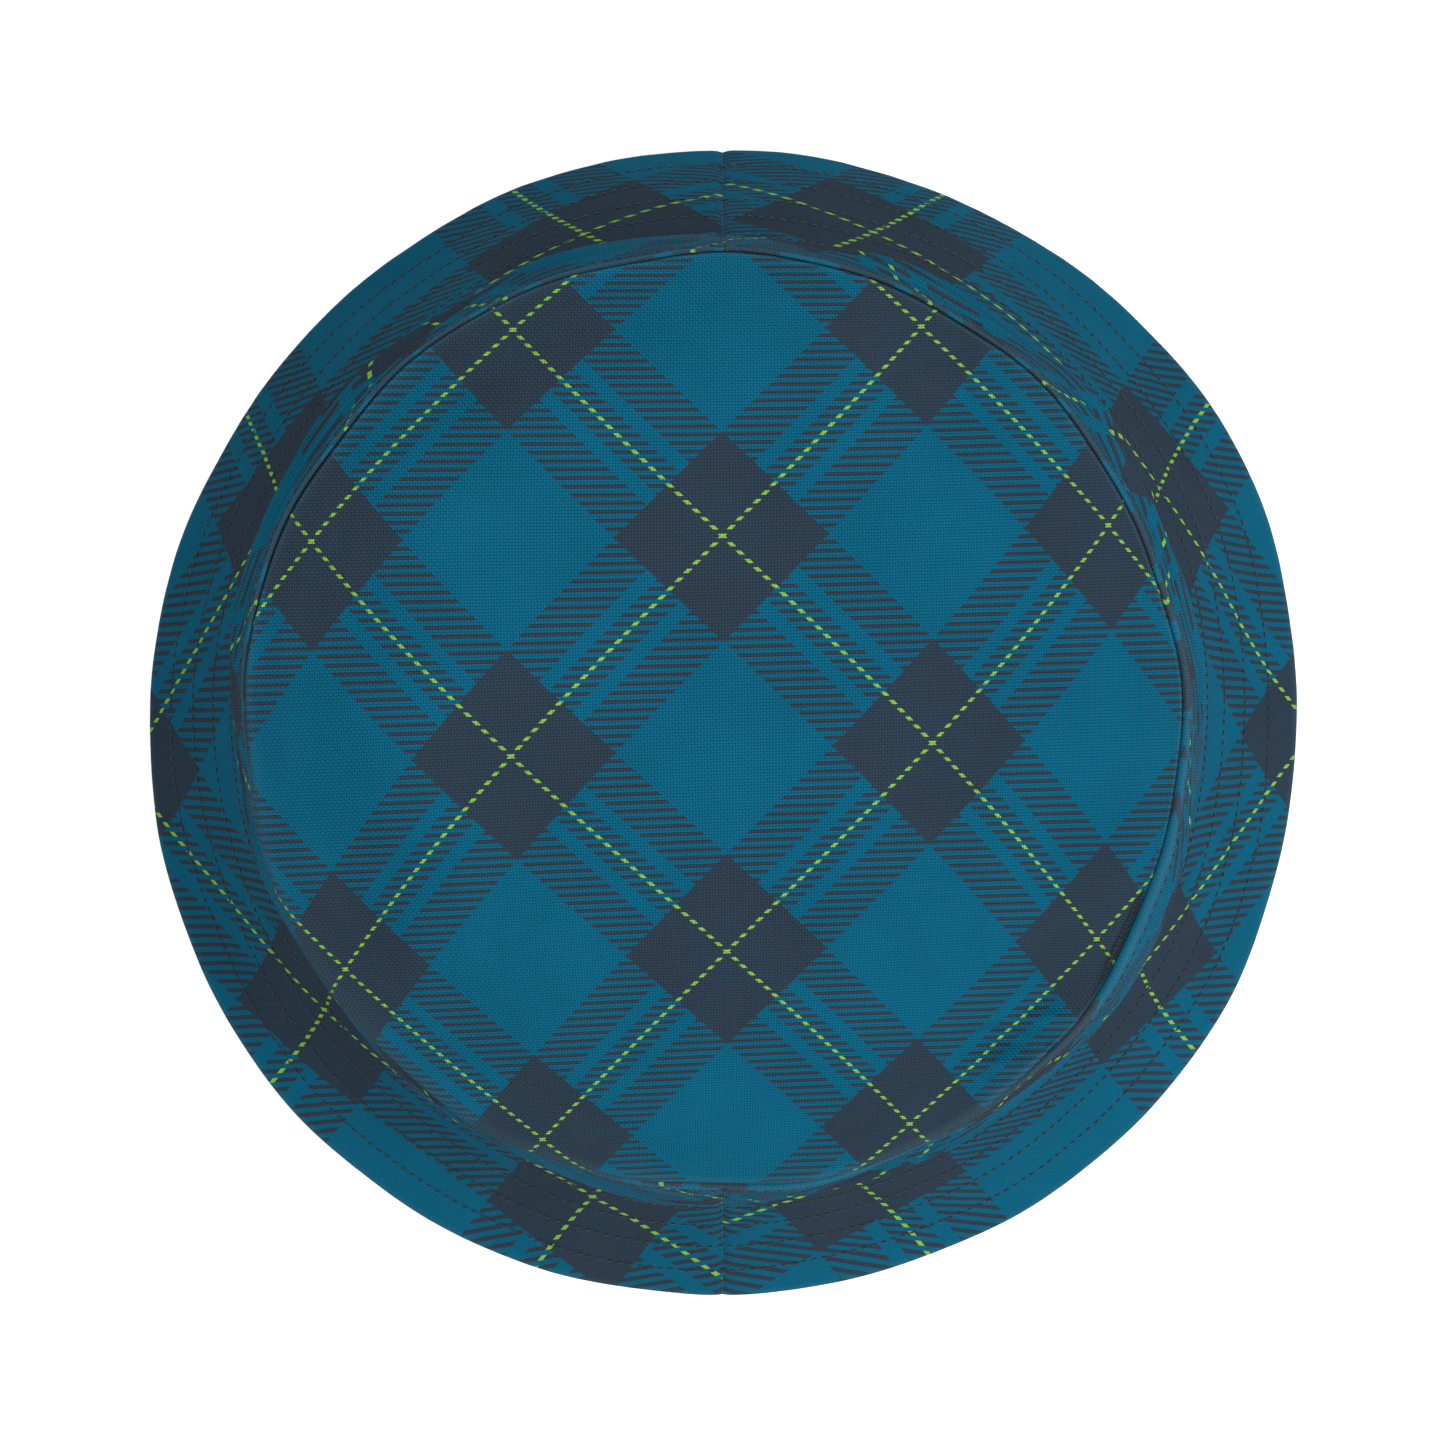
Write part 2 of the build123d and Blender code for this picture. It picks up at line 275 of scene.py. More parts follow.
# ---------------------------------------------------------------- brim
def brim_line(azimuth, distance):
    """Radius, height and slope of the brim's outer face, this far down from the brim seam."""
    ripple = 0.16 * np.sin(7 * azimuth + 0.4) + 0.12 * np.sin(13 * azimuth + 2.0) + 0.08 * np.sin(23 * azimuth)
    reach = HEM_RADIUS + 0.7 - BASE_RADIUS + around(azimuth, HEM_SHIFT) + ripple
    flare = around(azimuth, FLARE)
    share = distance / BRIM_WIDTH
    radius = BASE_RADIUS + reach * (share - flare * share * (1.0 - share))
    run = reach * (1.0 - flare * (1.0 - 2.0 * share))
    growth = 2.0 * flare * reach
    growth = np.where(np.abs(growth) < 0.05, 0.05, growth)
    first = reach * (1.0 - flare)

    def swept(value):
        value = np.clip(value, -BRIM_WIDTH * 0.999, BRIM_WIDTH * 0.999)
        root = np.sqrt(BRIM_WIDTH**2 - value**2)
        return 0.5 * (value * root + BRIM_WIDTH**2 * np.arcsin(value / BRIM_WIDTH))

    fall = (swept(first + growth * share) - swept(first)) / growth
    whole = (swept(first + growth) - swept(first)) / growth
    fall = fall * np.minimum(1.0, BASE_HEIGHT / whole)
    return radius, BASE_HEIGHT - fall, np.arccos(np.clip(run / BRIM_WIDTH, -0.98, 0.98))


def brim_place(azimuth, distance, depth):
    """A point of the brim, this far down from its seam and this deep inside its outer face."""
    radius, height, slope = brim_line(azimuth, distance)
    level = 1.0 - depth / HEM_ROLL
    quilt = np.zeros_like(distance)
    for row in range(BRIM_ROWS):
        quilt = quilt + hill(distance, BRIM_WIDTH - FIRST_ROW - row * ROW_SPACING, 0.75)
    puff = 0.08 * mottle(radius * np.cos(azimuth) * 0.22, radius * np.sin(azimuth) * 0.22, height * 0.22, 5.5)
    relief = -0.2 * quilt + puff * (1.0 - quilt)
    relief = relief - 0.55 * seam_dip(azimuth, radius, 0.9)
    relief = relief - 0.35 * (1.0 - ease(distance, 0.0, 1.2))
    wave = 0.5 * np.sin(4 * azimuth + distance * 0.05) + 0.35 * np.sin(9 * azimuth - distance * 0.04)
    wave = wave * ease(distance, 4.0, 50.0) * (1.0 - ease(distance, 48.0, BRIM_WIDTH))
    out = wave + relief * level - depth
    radius = radius + out * np.sin(slope)
    height = np.maximum(height + out * np.cos(slope), 0.01)
    return np.stack([radius * np.cos(azimuth), radius * np.sin(azimuth), height], axis=-1)


# ---------------------------------------------------------------- flat patterns, for print and weave
PRINT_SIDE = 55.6 * math.sqrt(2.0)
BRIM_SCALE = 1.4
PULL_SPAN = 83.0


def panel_flat(azimuth, path, depth):
    """Where a point of the top panel lay in the flat cloth, before its seam pulled the cloth out of true."""
    radius, wrap, _, seam_radius = roll(azimuth)
    centre_radius = seam_radius - radius * np.sin(wrap)
    flat = np.clip(path, 0.0, 1.0) * centre_radius
    flat = flat + np.clip(path - 1.0, 0.0, 1.0) * wrap * radius
    flat = flat + np.clip(path - 2.0, 0.0, 1.0) * ALLOWANCE
    x = flat * np.cos(azimuth) / PULL_SPAN
    y = flat * np.sin(azimuth) / PULL_SPAN
    spread = x * x + y * y
    pulled_x = x * (9.0 * spread - 3.0 + 3.0 * x - 5.0 * y) + y * (1.0 + 1.5 * spread - 2.0 * y * y)
    pulled_y = 0.5 - 2.5 * x + y * (2.0 * x - 4.0 * y - 1.0 - 2.0 * spread + 7.0 * y * y)
    return PULL_SPAN * x + pulled_x, PULL_SPAN * y + pulled_y


def panel_print(azimuth, path, depth):
    x, y = panel_flat(azimuth, path, depth)
    return (x - 0.4) / PRINT_SIDE, (y - 34.8) / PRINT_SIDE


def wall_flat(azimuth, height, depth):
    return azimuth * WALL_MEAN_RADIUS, height


def wall_print_right(azimuth, height, depth):
    """The right wall's print: one family of lines is drawn apart a little from front to back."""
    x = turned(azimuth, 0.0) * WALL_MEAN_RADIUS
    drawn = 13.4 * ease(x, -81.0, 24.0)
    return (x + 2.6 - drawn) / PRINT_SIDE, (height - TOP_HEIGHT - 0.8 - drawn) / PRINT_SIDE


def wall_print_left(azimuth, height, depth):
    x = turned(azimuth, math.pi) * WALL_MEAN_RADIUS
    return (x + 3.2) / PRINT_SIDE, (height - TOP_HEIGHT + 19.9) / PRINT_SIDE


def brim_arc(azimuth, distance, middle, hem, spread, skew, pinch):
    """Where a point of a brim half lay in the printed arc that it was cut from."""
    turn = turned(azimuth, middle)
    angle = turn * (spread + skew * turn - pinch * np.abs(turn))
    radius = hem - (BRIM_WIDTH - distance) / around(azimuth, PRINT_REACH)
    return radius * np.cos(angle), radius * np.sin(angle)


def brim_arc_right(azimuth, distance):
    return brim_arc(azimuth, distance, 0.0, 113.0, 0.955, 0.0, 0.06)


def brim_arc_left(azimuth, distance):
    return brim_arc(azimuth, distance, math.pi, 111.0, 0.865, 0.02, 0.0)


def brim_flat_right(azimuth, distance, depth):
    x, y = brim_arc_right(azimuth, distance)
    return x * BRIM_SCALE, y * BRIM_SCALE


def brim_flat_left(azimuth, distance, depth):
    x, y = brim_arc_left(azimuth, distance)
    return x * BRIM_SCALE, -y * BRIM_SCALE


def brim_print_right(azimuth, distance, depth):
    x, y = brim_arc_right(azimuth, distance)
    return (x - 116.0) / PRINT_SIDE, (y + 1.8) / PRINT_SIDE


def brim_print_left(azimuth, distance, depth):
    x, y = brim_arc_left(azimuth, distance)
    return (x - 116.0) / PRINT_SIDE, (7.5 - y) / PRINT_SIDE


def strip_flat(radius):
    def flat(azimuth, height, depth):
        return azimuth * radius, height
    return flat


# ---------------------------------------------------------------- materials
class Graph:
    """A node material, with short ways to write its sums."""

    def __init__(self, name):
        self.material = bpy.data.materials.new(name)
        self.material.use_nodes = True
        self.tree = self.material.node_tree
        self.tree.nodes.clear()
        self.shader = self.add("ShaderNodeBsdfPrincipled")
        output = self.add("ShaderNodeOutputMaterial")
        self.tree.links.new(self.shader.outputs[0], output.inputs[0])

    def add(self, kind, **settings):
        node = self.tree.nodes.new(kind)
        for key, value in settings.items():
            setattr(node, key, value)
        return node

    def feed(self, socket, value):
        if isinstance(value, bpy.types.NodeSocket):
            self.tree.links.new(value, socket)
        else:
            socket.default_value = value

    def sum(self, operation, *values):
        node = self.add("ShaderNodeMath", operation=operation)
        for socket, value in zip(node.inputs, values):
            self.feed(socket, value)
        return node.outputs[0]

    def step(self, value, low, high, first=0.0, last=1.0):
        node = self.add("ShaderNodeMapRange", interpolation_type="SMOOTHSTEP")
        for socket, given in zip(node.inputs, (value, low, high, first, last)):
            self.feed(socket, given)
        return node.outputs[0]

    def mix(self, share, first, second, blend="MIX"):
        node = self.add("ShaderNodeMix", data_type="RGBA", blend_type=blend)
        self.feed(node.inputs[0], share)
        self.feed(node.inputs[6], first)
        self.feed(node.inputs[7], second)
        return node.outputs[2]

    def coordinates(self, layer):
        place = self.add("ShaderNodeUVMap", uv_map=layer)
        split = self.add("ShaderNodeSeparateXYZ")
        self.tree.links.new(place.outputs[0], split.inputs[0])
        return place.outputs[0], split.outputs[0], split.outputs[1]

    def noise(self, vector, scale, detail=3.0, roughness=0.55):
        node = self.add("ShaderNodeTexNoise")
        self.feed(node.inputs["Vector"], vector)
        node.inputs["Scale"].default_value = scale
        node.inputs["Detail"].default_value = detail
        node.inputs["Roughness"].default_value = roughness
        return node.outputs[0]

    def shaded(self, colour, shade):
        """The colour times one number."""
        tint = self.add("ShaderNodeCombineXYZ")
        for socket in tint.inputs:
            self.feed(socket, shade)
        return self.mix(1.0, colour, tint.outputs[0], "MULTIPLY")

    def paint(self, colour):
        self.feed(self.shader.inputs["Base Color"], colour)

    def bump(self, height, distance):
        node = self.add("ShaderNodeBump")
        node.inputs["Distance"].default_value = distance
        self.feed(node.inputs["Height"], height)
        self.tree.links.new(node.outputs[0], self.shader.inputs["Normal"])

    def cloth(self, roughness, sheen, specular=0.25):
        self.shader.inputs["Roughness"].default_value = roughness
        self.shader.inputs["Specular IOR Level"].default_value = specular
        self.shader.inputs["Sheen Weight"].default_value = sheen
        self.shader.inputs["Sheen Roughness"].default_value = 0.45


TEAL = (0.0040, 0.104, 0.183, 1.0)
NAVY = (0.0285, 0.042, 0.060, 1.0)
NAVY_BLUE = (0.0215, 0.046, 0.074, 1.0)
GREEN = (0.222, 0.47, 0.053, 1.0)


def plain_weave(graph, x, y, pitch):
    """Height of a plain weave's threads, 0 to 1, with x and y in millimetres."""
    across = graph.sum("DIVIDE", x, pitch)
    along = graph.sum("DIVIDE", y, pitch)
    column = graph.sum("FLOOR", across)
    line = graph.sum("FLOOR", along)
    parity = graph.sum("PINGPONG", graph.sum("ADD", column, line), 1.0)
    warp = graph.sum("ABSOLUTE", graph.sum("SINE", graph.sum("MULTIPLY", across, math.pi)))
    weft = graph.sum("ABSOLUTE", graph.sum("SINE", graph.sum("MULTIPLY", along, math.pi)))
    over = graph.sum("MULTIPLY", warp, parity)
    under = graph.sum("MULTIPLY", weft, graph.sum("SUBTRACT", 1.0, parity))
    return graph.sum("ADD", over, under)


def tartan_material(name, reverse=False, smooth=0.0):
    """Bias tartan: two families of lines across each other, both cut by one set of fine stripes."""
    graph = Graph(name)
    _, u, v = graph.coordinates("Print")
    cloth, x, y = graph.coordinates("Cloth")
    stripe = graph.sum("MULTIPLY", v, 50.0)
    wander = graph.sum("MULTIPLY", graph.sum("SUBTRACT", graph.noise(cloth, 1.6), 0.5), 0.05)
    stripe = graph.sum("ADD", stripe, wander)
    stripe = graph.sum("ABSOLUTE", graph.sum("SUBTRACT", stripe, graph.sum("ROUND", stripe)))
    striped = graph.step(stripe, 0.225, 0.255, 1.0, 0.0)

    bands = []
    darks = []
    greens = []
    for line in (graph.sum("ADD", u, v), graph.sum("SUBTRACT", u, v)):
        away = graph.sum("ABSOLUTE", graph.sum("SUBTRACT", line, graph.sum("ROUND", line)))
        band = graph.step(away, 0.2455, 0.2485, 1.0, 0.0)
        gap = graph.sum("MULTIPLY", graph.step(away, 0.0505, 0.0535), graph.step(away, 0.0965, 0.0995, 1.0, 0.0))
        solid = graph.sum("MULTIPLY", band, graph.sum("SUBTRACT", 1.0, gap))
        bands.append(band)
        darks.append(graph.sum("MULTIPLY", solid, striped))
        green = graph.step(away, 0.0054, 0.0066, 1.0, 0.0)
        greens.append(graph.sum("MULTIPLY", green, striped))
    both = graph.sum("MULTIPLY", *bands)
    dark = graph.sum("MAXIMUM", *darks)
    bluish = graph.sum("MULTIPLY", both, graph.sum("SUBTRACT", 1.0, dark))
    dark = graph.sum("MAXIMUM", dark, both)
    green = graph.sum("MAXIMUM", *greens)

    colour = graph.mix(dark, TEAL, NAVY)
    colour = graph.mix(graph.sum("MULTIPLY", bluish, 0.75), colour, NAVY_BLUE)
    colour = graph.mix(green, colour, GREEN)

    weave = plain_weave(graph, x, y, 0.57)
    slub = graph.noise(cloth, 2.2, 2.0)
    fuzz = graph.noise(cloth, 9.0, 2.0)
    patch = graph.noise(cloth, 0.045, 3.0)
    shade = graph.step(weave, 0.1, 0.95, 0.74 + 0.12 * smooth, 1.16 - 0.06 * smooth)
    shade = graph.sum("MULTIPLY", shade, graph.step(fuzz, 0.3, 0.7, 0.93, 1.07))
    shade = graph.sum("MULTIPLY", shade, graph.step(slub, 0.3, 0.7, 0.96, 1.04))
    shade = graph.sum("MULTIPLY", shade, graph.step(patch, 0.3, 0.7, 0.95, 1.05))
    colour = graph.shaded(colour, shade)
    if reverse:
        colour = graph.mix(0.62, colour, (0.36, 0.42, 0.45, 1.0))
    else:
        # Painted highlight: a lighter teal laid on the rolled edges, the seam bead and the hem, broken up by the fuzz
        # noise.
        _, edge, _ = graph.coordinates("EdgeHighlight")
        edge_highlight = graph.sum("MULTIPLY", edge, graph.step(fuzz, 0.35, 0.65, 0.4, 1.0))
        colour = graph.mix(graph.sum("MULTIPLY", edge_highlight, 0.22), colour, (0.10, 0.21, 0.27, 1.0))
    graph.paint(colour)

    height = graph.sum("ADD", weave, graph.sum("MULTIPLY", fuzz, 0.35))
    height = graph.sum("ADD", height, graph.sum("MULTIPLY", slub, 0.5))
    graph.bump(height, 0.00012 - 0.00004 * smooth)
    graph.cloth(0.85, 0.0, 0.02)
    rough = graph.step(weave, 0.0, 1.0, 0.92, 0.78)
    graph.feed(graph.shader.inputs["Roughness"], rough)
    return graph.material


def twill_material(name, colour, pitch, rib=0.5):
    graph = Graph(name)
    cloth, x, y = graph.coordinates("Cloth")
    slant = graph.sum("ADD", x, y)
    ridge = graph.sum("ABSOLUTE", graph.sum("SINE", graph.sum("MULTIPLY", slant, math.pi / pitch)))
    thread = graph.sum("ABSOLUTE", graph.sum("SINE", graph.sum("MULTIPLY", y, math.pi / (pitch * rib))))
    height = graph.sum("ADD", ridge, graph.sum("MULTIPLY", thread, 0.35))
    fuzz = graph.noise(cloth, 3.5, 3.0)
    wear_and_highlight = graph.noise(cloth, 0.05, 3.0)
    shade = graph.sum("MULTIPLY", graph.step(height, 0.1, 1.3, 0.6, 1.3), graph.step(fuzz, 0.3, 0.7, 0.85, 1.15))
    tone = graph.mix(graph.step(wear_and_highlight, 0.4, 0.75, 0.0, 0.3), colour, tuple(2.2 * c for c in colour[:3]) + (1.0,))
    graph.paint(graph.shaded(tone, shade))
    graph.bump(graph.sum("ADD", height, graph.sum("MULTIPLY", fuzz, 0.4)), 0.00015)
    graph.cloth(0.88, 0.2)
    return graph.material


def thread_material(name, colour):
    """Two-ply thread: x runs along the stitch in millimetres, y around it."""
    graph = Graph(name)
    cloth, x, y = graph.coordinates("Cloth")
    twist = graph.sum("ADD", graph.sum("MULTIPLY", x, 7.0), graph.sum("MULTIPLY", y, 4.0))
    ply = graph.sum("ABSOLUTE", graph.sum("SINE", twist))
    fuzz = graph.noise(cloth, 6.0, 2.0)
    shade = graph.sum("MULTIPLY", graph.step(ply, 0.0, 0.9, 0.55, 1.25), graph.step(fuzz, 0.3, 0.7, 0.85, 1.15))
    graph.paint(graph.shaded(colour, shade))
    graph.bump(ply, 0.00008)
    graph.cloth(0.55, 0.1, 0.4)
    return graph.material


def satin_material(name):
    graph = Graph(name)
    cloth, x, y = graph.coordinates("Cloth")
    rib = graph.sum("ABSOLUTE", graph.sum("SINE", graph.sum("MULTIPLY", y, math.pi / 0.28)))
    crossing = graph.sum("ABSOLUTE", graph.sum("SINE", graph.sum("MULTIPLY", x, math.pi / 0.9)))
    fuzz = graph.noise(cloth, 4.0, 2.0)
    patch = graph.noise(cloth, 0.12, 3.0)
    shade = graph.step(fuzz, 0.3, 0.7, 0.95, 1.02)
    tone = graph.mix(graph.step(patch, 0.35, 0.75, 0.0, 0.6), (0.78, 0.77, 0.74, 1.0), (0.68, 0.67, 0.62, 1.0))
    graph.paint(graph.shaded(tone, shade))
    graph.bump(graph.sum("ADD", rib, graph.sum("MULTIPLY", crossing, 0.3)), 0.00005)
    graph.cloth(0.38, 0.1, 0.5)
    return graph.material


def felt_material(name):
    """Nonwoven interlining: random short fibres with a grid of bond points."""
    graph = Graph(name)
    cloth, x, y = graph.coordinates("Cloth")
    fibre = graph.noise(cloth, 2.5, 5.0, 0.75)
    bond = graph.add("ShaderNodeTexVoronoi", feature="F1")
    graph.feed(bond.inputs["Vector"], cloth)
    bond.inputs["Scale"].default_value = 0.8
    dots = graph.step(bond.outputs["Distance"], 0.12, 0.25)
    colour = graph.mix(graph.step(fibre, 0.35, 0.65), (0.62, 0.61, 0.57, 1.0), (0.80, 0.79, 0.75, 1.0))
    graph.paint(colour)
    graph.bump(graph.sum("ADD", fibre, graph.sum("MULTIPLY", dots, 0.6)), 0.00015)
    graph.cloth(0.95, 0.05)
    return graph.material


TARTAN = tartan_material("tartan_canvas_crown")
TARTAN_BRIM = tartan_material("tartan_canvas_brim", smooth=1.0)
TARTAN_BACK = tartan_material("tartan_canvas_reverse", reverse=True)
TWILL = twill_material("sweatband_twill_black", (0.018, 0.020, 0.025, 1.0), 0.7)
TAPE = twill_material("seam_tape_black", (0.020, 0.022, 0.027, 1.0), 0.9, 0.35)
THREAD_TEAL = thread_material("thread_dark_teal", (0.004, 0.015, 0.024, 1.0))
THREAD_BLACK = thread_material("thread_black", (0.016, 0.018, 0.022, 1.0))
THREAD_WHITE = thread_material("thread_white", (0.62, 0.62, 0.60, 1.0))
SATIN = satin_material("label_satin_white")
FELT = felt_material("interlining_nonwoven")


# ---------------------------------------------------------------- meshes
def finish_piece(mesh_name, mesh, materials, sharp=50.0):
    piece = bpy.data.objects.new(mesh_name, mesh)
    bpy.context.collection.objects.link(piece)
    for material in materials:
        mesh.materials.append(material)
    work = bmesh.new()
    work.from_mesh(mesh)
    bmesh.ops.remove_doubles(work, verts=work.verts, dist=1e-7)
    bmesh.ops.recalc_face_normals(work, faces=work.faces)
    work.to_mesh(mesh)
    work.free()
    mesh.polygons.foreach_set("use_smooth", [True] * len(mesh.polygons))
    mesh.set_sharp_from_angle(angle=math.radians(sharp))
    mesh.update()
    return piece


def add_layers(mesh, layers):
    corner_vertex = np.empty(len(mesh.loops), dtype=np.int64)
    mesh.loops.foreach_get("vertex_index", corner_vertex)
    for name, values in layers.items():
        layer = mesh.uv_layers.new(name=name)
        layer.data.foreach_set("uv", values[corner_vertex].astype(np.float32).ravel())


def ply(name, outer, inner, azimuths, place, flat, printed, materials, wear_and_highlight=None, closed=False):
    """A ply of cloth: a closed section of an outer and an inner path, swept around the hat.

    outer and inner are lists of (along, depth), of the same length. materials are for the outer
    face with the ply's edges, and for the inner face.
    """
    count = len(outer)
    section = np.array(list(outer) + list(inner), float)
    azimuth, along = np.meshgrid(azimuths, section[:, 0], indexing="ij")
    depth = np.broadcast_to(section[:, 1], azimuth.shape)
    points = place(azimuth, along, depth).reshape(-1, 3) * MM
    width = 2 * count
    steps = len(azimuths)
    faces = []
    kinds = []
    for i in range(steps - 1):
        here = i * width
        there = here + width
        for j in range(count - 1):
            faces.append((here + j, there + j, there + j + 1, here + j + 1))
            kinds.append(0)
            k = count + j
            faces.append((here + k, here + k + 1, there + k + 1, there + k))
            kinds.append(1)
        faces.append((here, here + count, there + count, there))
        faces.append((here + count - 1, there + count - 1, there + width - 1, here + width - 1))
        kinds += [0, 0]
    if not closed:
        for start in (0, (steps - 1) * width):
            for j in range(count - 1):
                k = count + j
                faces.append((start + j, start + j + 1, start + k + 1, start + k))
                kinds.append(0)
    mesh = bpy.data.meshes.new(name)
    mesh.from_pydata(points.tolist(), [], faces)
    if len(materials) > 1:
        mesh.polygons.foreach_set("material_index", kinds)
    cloth = np.stack(flat(azimuth, along, depth), axis=-1).reshape(-1, 2)
    layers = {"Cloth": cloth}
    if printed is not None:
        layers["Print"] = np.stack(printed(azimuth, along, depth), axis=-1).reshape(-1, 2)
        # Third layer: how much painted highlight the tartan gets along rolled edges and hems.
        edge_highlight = wear_and_highlight(azimuth, along, depth) if wear_and_highlight else azimuth * 0.0
        layers["EdgeHighlight"] = np.stack([edge_highlight, edge_highlight * 0.0], axis=-1).reshape(-1, 2)
    add_layers(mesh, layers)
    return finish_piece(name, mesh, materials)


def stitches(name, lines, material, radius=THREAD / 2):
    """Stitches as short lengths of thread whose ends sink into the cloth.

    lines is a list of (start, end, out), each an array of points, with out the way off the cloth.
    """
    start = np.concatenate([line[0] for line in lines])
    end = np.concatenate([line[1] for line in lines])
    out = np.concatenate([line[2] for line in lines])
    run = end - start
    length = np.linalg.norm(run, axis=1, keepdims=True)
    side = np.cross(run / length, out)
    side = side / np.linalg.norm(side, axis=1, keepdims=True)
    shares = (0.0, 0.10, 0.30, 0.5, 0.70, 0.90, 1.0)
    lifts = (-0.9, -0.1, 0.45, 0.6, 0.45, -0.1, -0.9)
    girths = (0.45, 0.85, 1.0, 1.0, 1.0, 0.85, 0.45)
    sides = 6
    points = []
    places = []
    for share, lift, girth in zip(shares, lifts, girths):
        middle = start + run * share + out * (lift * radius)
        for k in range(sides):
            angle = TURN * k / sides
            ring = side * math.cos(angle) + out * (0.8 * math.sin(angle))
            points.append(middle + ring * (radius * girth))
            places.append(np.stack([share * length[:, 0] + 3.0 * np.arange(len(start)), angle + 0 * length[:, 0]], -1))
    rings = len(shares)
    block = rings * sides
    points = np.stack(points, axis=1).reshape(-1, 3)
    places = np.stack(places, axis=1).reshape(-1, 2)
    quads = []
    for i in range(rings - 1):
        for k in range(sides):
            after = (k + 1) % sides
            quads.append((i * sides + k, i * sides + after, (i + 1) * sides + after, (i + 1) * sides + k))
    caps = [tuple(reversed(range(sides))), tuple(range(block - sides, block))]
    faces = []
    for n in range(len(start)):
        base = n * block
        for face in quads + caps:
            faces.append(tuple(base + corner for corner in face))
    mesh = bpy.data.meshes.new(name)
    mesh.from_pydata((points * MM).tolist(), [], faces)
    add_layers(mesh, {"Cloth": places})
    return finish_piece(name, mesh, [material], 80.0)


def row_of_stitches(place, along, depth, low, high, outward=True, pitch=STITCH_PITCH, share=0.66):
    """Stitches in a row around the hat at one place along the section."""
    probe = place(np.array([low, high]), np.array([along, along]), np.array([depth, depth]))
    radius = float(np.hypot(probe[:, 0], probe[:, 1]).mean())
    count = max(2, int(round((high - low) * radius / pitch)))
    step = (high - low) / count
    first = low + step * (np.arange(count) + 0.5 * (1.0 - share))
    jitter = np.array([rng.uniform(-0.05, 0.05) for _ in range(count)]) * step
    drift = np.array([rng.uniform(-0.05, 0.05) for _ in range(count)])
    first = first + jitter
    last = first + step * share
    level = np.full(count, depth)
    start = place(first, along + drift, level)
    end = place(last, along + drift, level)
    middle = (first + last) / 2
    inner = place(middle, np.full(count, along), level + 0.3)
    outer = place(middle, np.full(count, along), level - 0.3)
    out = outer - inner
    out = out / np.linalg.norm(out, axis=1, keepdims=True)
    if not outward:
        out = -out
    return start, end, out


def upright_stitches(place, azimuth, low, high, depth, pitch=STITCH_PITCH, share=0.66):
    """Stitches up a tape at one azimuth, on the side that faces into the hat."""
    count = max(2, int(round((high - low) / pitch)))
    step = (high - low) / count
    first = low + step * (np.arange(count) + 0.5 * (1.0 - share))
    turn = np.full(count, azimuth) + np.array([rng.uniform(-0.0008, 0.0008) for _ in range(count)])
    level = np.full(count, depth)
    start = place(turn, first, level)
    end = place(turn, first + step * share, level)
    out = np.stack([-np.cos(turn), -np.sin(turn), 0.0 * turn], axis=-1)
    return start, end, out


def own(piece, slot, *nodes):
    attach(piece, "hat")
    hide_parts(*nodes)
    return piece


def steps(low, high, count):
    return np.linspace(low, high, count)


HALVES = {"left": (BACK, BACK + math.pi), "right": (FRONT, FRONT + math.pi)}
WALL_PRINTS = {"left": wall_print_left, "right": wall_print_right}
BRIM_PRINTS = {"left": brim_print_left, "right": brim_print_right}
BRIM_FLATS = {"left": brim_flat_left, "right": brim_flat_right}
ROUND = steps(-math.pi, math.pi, 481)
HALF_GAP = 0.00002
LINING_GAP = 0.012

# ---------------------------------------------------------------- crown pieces
panel_paths = np.concatenate([steps(0.0, 1.0, 84), steps(1.0, 2.0, 12)[1:], steps(2.0, 3.0, 9)[1:]])


# Painted highlight along the top panel's rolled edge.
def panel_highlight(azimuth, path, depth):
    return hill(path, 1.4, 0.25)


top_panel = ply(
    "top_panel",
    [(path, 0.0) for path in panel_paths],
    [(path, CLOTH) for path in panel_paths],
    ROUND,
    panel_place,
    panel_flat,
    panel_print,
    [TARTAN, TARTAN_BACK],
    wear_and_highlight=panel_highlight,
    closed=True,
)
own(top_panel, "tartan_canvas", "crown_top_panel")

bead_turns = steps(math.pi, 0.0, 9)
wall_rise = np.concatenate([steps(BASE_HEIGHT, SWEATBAND_TOP, 24), steps(SWEATBAND_TOP, BEAD_HEIGHT, 64)[1:]])
wall_outer = [(height, 0.0) for height in wall_rise]
wall_outer += [(BEAD_HEIGHT + BEAD * math.sin(a), BEAD + BEAD * math.cos(a)) for a in bead_turns[1:]]
wall_outer += [(height, 2 * BEAD) for height in steps(BEAD_HEIGHT, TOP_HEIGHT - ALLOWANCE, 8)[1:]]
BEAD_INSIDE = BEAD - CLOTH
wall_inner = [(height, CLOTH) for height in wall_rise]
wall_inner += [(BEAD_HEIGHT + BEAD_INSIDE * math.sin(a), BEAD + BEAD_INSIDE * math.cos(a)) for a in bead_turns[1:]]
wall_inner += [(height, 2 * BEAD - CLOTH) for height in steps(BEAD_HEIGHT, TOP_HEIGHT - ALLOWANCE, 8)[1:]]


# Painted highlight along the wall's seam bead, on its outer face.
def wall_highlight(azimuth, height, depth):
    return hill(height, TOP_HEIGHT, 1.2) * (depth < 1.2)


for side, (low, high) in HALVES.items():
    panel = ply(
        f"side_panel_{side}",
        wall_outer,
        wall_inner,
        steps(low + HALF_GAP, high - HALF_GAP, 281),
        wall_place,
        wall_flat,
        WALL_PRINTS[side],
        [TARTAN, TARTAN_BACK],
        wear_and_highlight=wall_highlight,
    )
    own(panel, "tartan_canvas", f"crown_side_panel_{side}")

